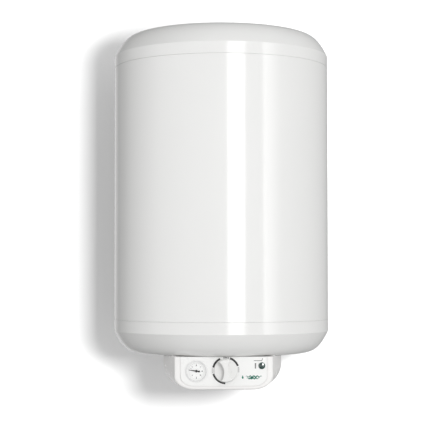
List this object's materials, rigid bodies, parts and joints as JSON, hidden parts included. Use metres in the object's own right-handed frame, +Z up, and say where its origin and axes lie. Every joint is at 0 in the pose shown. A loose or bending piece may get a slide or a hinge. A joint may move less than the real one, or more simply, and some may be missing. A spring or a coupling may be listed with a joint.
{
  "type": "tank water heater",
  "caption": "Wall-hung electric storage water heater: white enamelled drum, moulded caps, and a control housing below with thermometer, knob and lamp.",
  "frame": {"origin": "on the wall, at the middle of the upper bracket, half way between its two slots", "axes": "+Z up along the drum, +Y into the wall, +X to the right of a person who faces the heater; the controls face -Y"},
  "size_m": [0.45, 0.472, 0.7437],
  "materials": {
    "enamel_steel": "gloss white stove enamel",
    "cap_plastic": "gloss white moulded plastic",
    "cover_plastic": "satin-gloss white moulded plastic",
    "fascia_plastic": "satin white moulded plastic",
    "knob_plastic": "satin white moulded plastic",
    "foam": "rigid foam",
    "tank_steel": "vitreous enamel",
    "flange_steel": "painted steel",
    "zinc_steel": "zinc plated",
    "bracket_steel": "white powder coat",
    "copper": "bare copper",
    "anode_magnesium": "cast",
    "brass": "turned",
    "ceramic": "unglazed",
    "gasket_rubber": "black rubber",
    "bumper_rubber": "black rubber",
    "hot_plastic": "red",
    "cold_plastic": "blue",
    "dark_plastic": "black moulded",
    "grey_plastic": "grey moulded",
    "button_plastic": "red",
    "block_plastic": "ivory moulded",
    "bezel_plastic": "light grey",
    "dial_white": "white printed",
    "needle_black": "black",
    "clear_glass": "clear",
    "lens_green": "dark green, polished",
    "lamp_glass": "clear",
    "wire_plastic": "brown and blue insulation",
    "earth_plastic": "green and yellow insulation",
    "foil_plate": "satin foil"
  },
  "bodies": {
    "root": {"outer_jacket": "enamel_steel", "jacket_seam_strip": "enamel_steel", "jacket_rivets": "zinc_steel", "rating_plate": "foil_plate", "top_cap": "cap_plastic", "bottom_cap": "cap_plastic", "foam_shell": "foam", "tank_shell": "tank_steel", "flange_ring": "flange_steel", "flange_gasket": "gasket_rubber", "flange_plate": "flange_steel", "flange_studs": "zinc_steel", "flange_washers": "zinc_steel", "flange_nuts": "zinc_steel", "heating_elements": "copper", "element_ceramics": "ceramic", "element_terminals": "brass", "anode_rod": "anode_magnesium", "anode_nut": "zinc_steel", "thermowell": "copper", "thermostat_bulb": "copper", "thermometer_bulb": "copper", "hot_outlet_pipe": "zinc_steel", "cold_inlet_pipe": "zinc_steel", "cold_diffuser": "block_plastic", "hot_collar": "hot_plastic", "cold_collar": "cold_plastic", "control_cover": "cover_plastic", "fascia_panel": "fascia_plastic", "cover_screws": "zinc_steel", "thermometer_bezel": "bezel_plastic", "thermometer_glass": "clear_glass", "thermometer_case": "bezel_plastic", "thermometer_dial": "dial_white", "thermometer_capillary": "copper", "thermostat_body": "grey_plastic", "thermostat_screws": "zinc_steel", "thermostat_capillary": "copper", "indicator_lens": "lens_green", "indicator_clip": "grey_plastic", "indicator_lamp": "lamp_glass", "safety_cutout": "dark_plastic", "terminal_block": "block_plastic", "terminal_screws": "brass", "earth_screw": "brass", "power_wires": "wire_plastic", "earth_wire": "earth_plastic", "cable_gland": "dark_plastic", "gland_nut": "dark_plastic", "upper_wall_bracket": "bracket_steel", "lower_wall_bracket": "bracket_steel", "wall_bumpers": "bumper_rubber", "bracket_studs": "zinc_steel", "bracket_spacers": "zinc_steel", "bracket_washers": "zinc_steel", "bracket_nuts": "zinc_steel"},
    "knob": {"control_knob": "knob_plastic", "thermostat_spindle": "brass"},
    "needle": {"thermometer_needle": "needle_black"},
    "reset_button": {"cutout_reset_button": "button_plastic"}
  },
  "joints": [
    {"name": "knob_turn", "type": "hinge", "parent": "root", "child": "knob", "pos_m": [0.004, -0.4256, -0.504], "axis": [0, 1, 0], "range_deg": [-180, 90]},
    {"name": "needle_swing", "type": "hinge", "parent": "root", "child": "needle", "pos_m": [-0.054, -0.424, -0.5055], "axis": [0, 1, 0], "range_deg": [-52, 218], "stiffness_Nm_per_rad": 0.00002},
    {"name": "reset_press", "type": "slide", "parent": "root", "child": "reset_button", "axis": [0, 0, 1], "range_m": [0, 0.0025], "stiffness_N_per_m": 600, "springref_m": -0.001}
  ]
}
